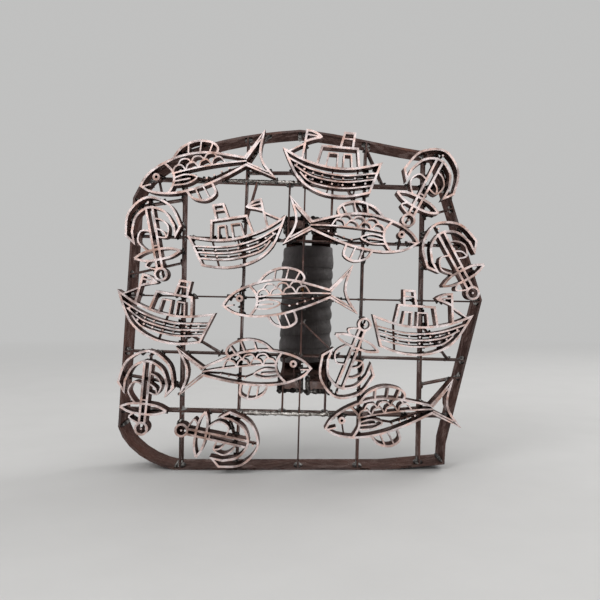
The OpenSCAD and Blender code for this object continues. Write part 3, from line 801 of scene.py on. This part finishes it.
cotton = {     # its patterns are given as the copper's are
    "shade": (0.016, 0.38, 0.62, 3), "stain": (0.015, 0.44, 0.6, 6), "yarn": (0.0011, 0.42, 0.64, 4),
    "fuzz": (0.0005, 0.45, 0.7, 4), "grease": (0.009, 0.26, 0.54, 6), "thread": 0.0008,
    "yarnDraws": ((0.07, 1, 1), (1, 0.09, 1)),     # along the tape and across it
    "stainShare": 0.8, "yarnShare": 0.8, "fuzzShare": 0.15, "gapShare": 0.25, "edgeShare": 0.55,
    "edgeFrom": 0.86,                    # of the way from its middle line to its edge
    "greaseShare": (0.95, 0.2),          # in the grip's middle and towards its ends
    "greaseReach": (0.008, 0.034),       # from the middle
    "roughness": 0.85, "greasyRoughness": 0.6, "sheen": 0.15,
    "yarnRelief": 1.6, "relief": 0.00015, "strength": 0.8,
}
cottonTones = {
    "grey": (0.105, 0.092, 0.094), "pale": (0.175, 0.157, 0.16), "stain": (0.058, 0.047, 0.043),
    "yarn": (0.33, 0.3, 0.3), "fuzz": (0.45, 0.41, 0.41), "edge": (0.06, 0.05, 0.048),
    "gap": (0.03, 0.026, 0.025), "grease": (0.036, 0.026, 0.022),
}


def cottonTape():
    finish, tree, shader = newFinish("cottonTape")
    run = put(tree, "ShaderNodeAttribute", attribute_name="tapeRun").outputs["Vector"]
    split = put(tree, "ShaderNodeSeparateXYZ", {"Vector": run})
    threads = 2 * math.pi / cotton["thread"]
    warp = calc(tree, "SINE", calc(tree, "MULTIPLY", split.outputs["X"], threads))
    weft = calc(tree, "SINE", calc(tree, "MULTIPLY", split.outputs["Y"], threads))
    weave = spread(tree, calc(tree, "MULTIPLY", warp, weft), -1, 1)
    shade = clouds(tree, *cotton["shade"])
    tone = blendColour(tree, shade, cottonTones["grey"], cottonTones["pale"])
    stain = calc(tree, "MULTIPLY", clouds(tree, *cotton["stain"]), cotton["stainShare"])
    tone = blendColour(tree, stain, tone, cottonTones["stain"])
    yarns = []
    for scale in cotton["yarnDraws"]:
        drawn = put(tree, "ShaderNodeMapping", {"Vector": run, "Scale": scale}).outputs["Vector"]
        yarns.append(clouds(tree, *cotton["yarn"], drawn))
    yarn = calc(tree, "MULTIPLY", calc(tree, "ADD", *yarns), 0.5)
    tone = blendColour(tree, calc(tree, "MULTIPLY", yarn, cotton["yarnShare"]), tone, cottonTones["yarn"])
    fuzz = calc(tree, "MULTIPLY", clouds(tree, *cotton["fuzz"]), cotton["fuzzShare"])
    tone = blendColour(tree, fuzz, tone, cottonTones["fuzz"])
    acrossTape = calc(tree, "MULTIPLY", split.outputs["Y"], 2 / tape["width"])
    edge = calc(tree, "ABSOLUTE", calc(tree, "SUBTRACT", acrossTape, 1))
    darkEdge = spread(tree, edge, cotton["edgeFrom"], 1, 0, cotton["edgeShare"])
    tone = blendColour(tree, darkEdge, tone, cottonTones["edge"])
    tone = blendColour(tree, spread(tree, weave, 0, 1, cotton["gapShare"], 0), tone, cottonTones["gap"])
    fromMiddle = calc(tree, "SUBTRACT", along(tree, "Z"), gripBase.z + gripWay.z * gripLength / 2)
    held = spread(tree, calc(tree, "ABSOLUTE", fromMiddle), *cotton["greaseReach"], *cotton["greaseShare"])
    grease = calc(tree, "MULTIPLY", held, clouds(tree, *cotton["grease"]))
    tone = blendColour(tree, grease, tone, cottonTones["grease"])
    tree.links.new(tone, shader.inputs["Base Color"])
    dull = blendValue(tree, grease, cotton["roughness"], cotton["greasyRoughness"])
    tree.links.new(dull, shader.inputs["Roughness"])
    shader.inputs["Sheen Weight"].default_value = cotton["sheen"]
    height = calc(tree, "ADD", weave, calc(tree, "MULTIPLY", yarn, cotton["yarnRelief"]))
    dent(tree, shader, height, cotton["relief"], cotton["strength"])
    return finish


finishes["tape"] = cottonTape()


def makeTape():
    inner, outer, height, runAlong = windTape()
    steps, samples = inner.shape
    points, faces, runs = [], [], []
    perTurn = tape["stepsPerTurn"]
    for step in range(steps):
        angle = 2 * math.pi * (step % perTurn) / perTurn
        out = gripSide * math.cos(angle) + gripBack * math.sin(angle)
        for radii, heights in ((outer[step], height[step]), (inner[step][::-1], height[step][::-1])):
            for radius, z in zip(radii, heights):
                points.append(gripBase + gripWay * float(z) + out * float(radius))
        share = np.linspace(0, 1, samples) * tape["width"]
        for y in list(share) + list(share[::-1]):
            runs += [runAlong[step], y, step / perTurn]
    ring = 2 * samples
    for step in range(steps - 1):
        for k in range(ring):
            a, b = step * ring + k, step * ring + (k + 1) % ring
            faces.append((a, b, b + ring, a + ring))
    faces.append(tuple(reversed(range(ring))))
    faces.append(tuple((steps - 1) * ring + k for k in range(ring)))
    piece = makePiece("gripTape", points, faces, finishes["tape"])
    attribute = piece.data.attributes.new("tapeRun", "FLOAT_VECTOR", "POINT")
    attribute.data.foreach_set("vector", runs)
    return piece


gripTape = makeTape()
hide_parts("grip_wrap")
print("grip wound with tape")

# Studio: a pale floor that fades into a pale backdrop, and soft light
studio = {
    "floorTone": (0.59, 0.585, 0.575), "backTone": (0.53, 0.53, 0.525), "fill": 0.55,
    "mottle": (0.05, 0.3, 0.7, 4), "mottled": 0.96,     # the floor's darker patches, and their tone
    "floorRough": 0.7,
    "overhead": 1.85,     # how much brighter the room is overhead than at eye level
    "rising": (0.4, 0.9),     # heights on the backdrop between which it gets brighter
    "floorRadius": 6.0, "floorSides": 96, "fade": (0.3, 1.4),
    "lamps": [
        {"name": "frontBox", "at": (0.05, -1.35, 0.42), "size": 0.9, "power": 2.8},
        {"name": "keyBox", "at": (-0.75, -1.0, 0.95), "size": 0.6, "power": 6.5},
        {"name": "rimBox", "at": (0.8, 0.5, 0.8), "size": 0.6, "power": 4.0},
        {"name": "topBox", "at": (0.0, -0.1, 1.6), "size": 1.4, "power": 4.5},
    ],
}


def layFloor():
    radius, sides = studio["floorRadius"], studio["floorSides"]
    turns = [2 * math.pi * k / sides for k in range(sides)]
    mesh = bpy.data.meshes.new("floor")
    mesh.from_pydata([(radius * math.cos(turn), radius * math.sin(turn), 0) for turn in turns], [],
                     [tuple(range(sides))])
    finish, tree, shader = newFinish("floor")
    mottled = tuple(studio["mottled"] * c for c in studio["floorTone"])
    tone = blendColour(tree, clouds(tree, *studio["mottle"]), studio["floorTone"], mottled)
    tree.links.new(tone, shader.inputs["Base Color"])
    shader.inputs["Roughness"].default_value = studio["floorRough"]
    where = put(tree, "ShaderNodeTexCoord").outputs["Object"]
    away = put(tree, "ShaderNodeVectorMath", {0: where}, operation="LENGTH").outputs["Value"]
    share = spread(tree, away, *studio["fade"])
    glow = put(tree, "ShaderNodeEmission", {"Color": rgb(studio["backTone"])})
    fade = put(tree, "ShaderNodeMixShader", {"Fac": share, 1: shader.outputs[0], 2: glow.outputs[0]})
    tree.links.new(fade.outputs[0], tree.nodes["Material Output"].inputs["Surface"])
    mesh.materials.append(finish)
    laid = bpy.data.objects.new("floor", mesh)
    bpy.context.collection.objects.link(laid)
    return laid


# The room: one pale backdrop for the camera and for what metal reflects, brighter overhead
def lightRoom():
    world = bpy.data.worlds.new("studio")
    bpy.context.scene.world = world
    world.use_nodes = True
    tree = world.node_tree
    light = tree.nodes["Background"]
    light.inputs["Color"].default_value = (1, 1, 1, 1)
    light.inputs["Strength"].default_value = studio["fill"]
    way = put(tree, "ShaderNodeTexCoord").outputs["Generated"]
    height = put(tree, "ShaderNodeSeparateXYZ", {"Vector": way}).outputs["Z"]
    strength = spread(tree, height, *studio["rising"], 1, studio["overhead"])
    shown = put(tree, "ShaderNodeBackground", {"Color": rgb(studio["backTone"]), "Strength": strength})
    rays = put(tree, "ShaderNodeLightPath")
    seen = calc(tree, "MAXIMUM", rays.outputs["Is Camera Ray"], rays.outputs["Is Glossy Ray"])
    both = put(tree, "ShaderNodeMixShader", {"Fac": seen, 1: light.outputs[0], 2: shown.outputs[0]})
    tree.links.new(both.outputs[0], tree.nodes["World Output"].inputs["Surface"])


def hangLamps():
    for lamp in studio["lamps"]:
        data = bpy.data.lights.new(lamp["name"], "AREA")
        data.size = lamp["size"]
        data.energy = lamp["power"]
        lampObject = bpy.data.objects.new(lamp["name"], data)
        lampObject.location = lamp["at"]
        aim = Vector((0, 0, photoView["height"])) - Vector(lamp["at"])
        lampObject.rotation_euler = aim.to_track_quat("-Z", "Y").to_euler()
        lampObject.visible_camera = False
        bpy.context.collection.objects.link(lampObject)


floor = layFloor()
lightRoom()
hangLamps()
print("studio lit")
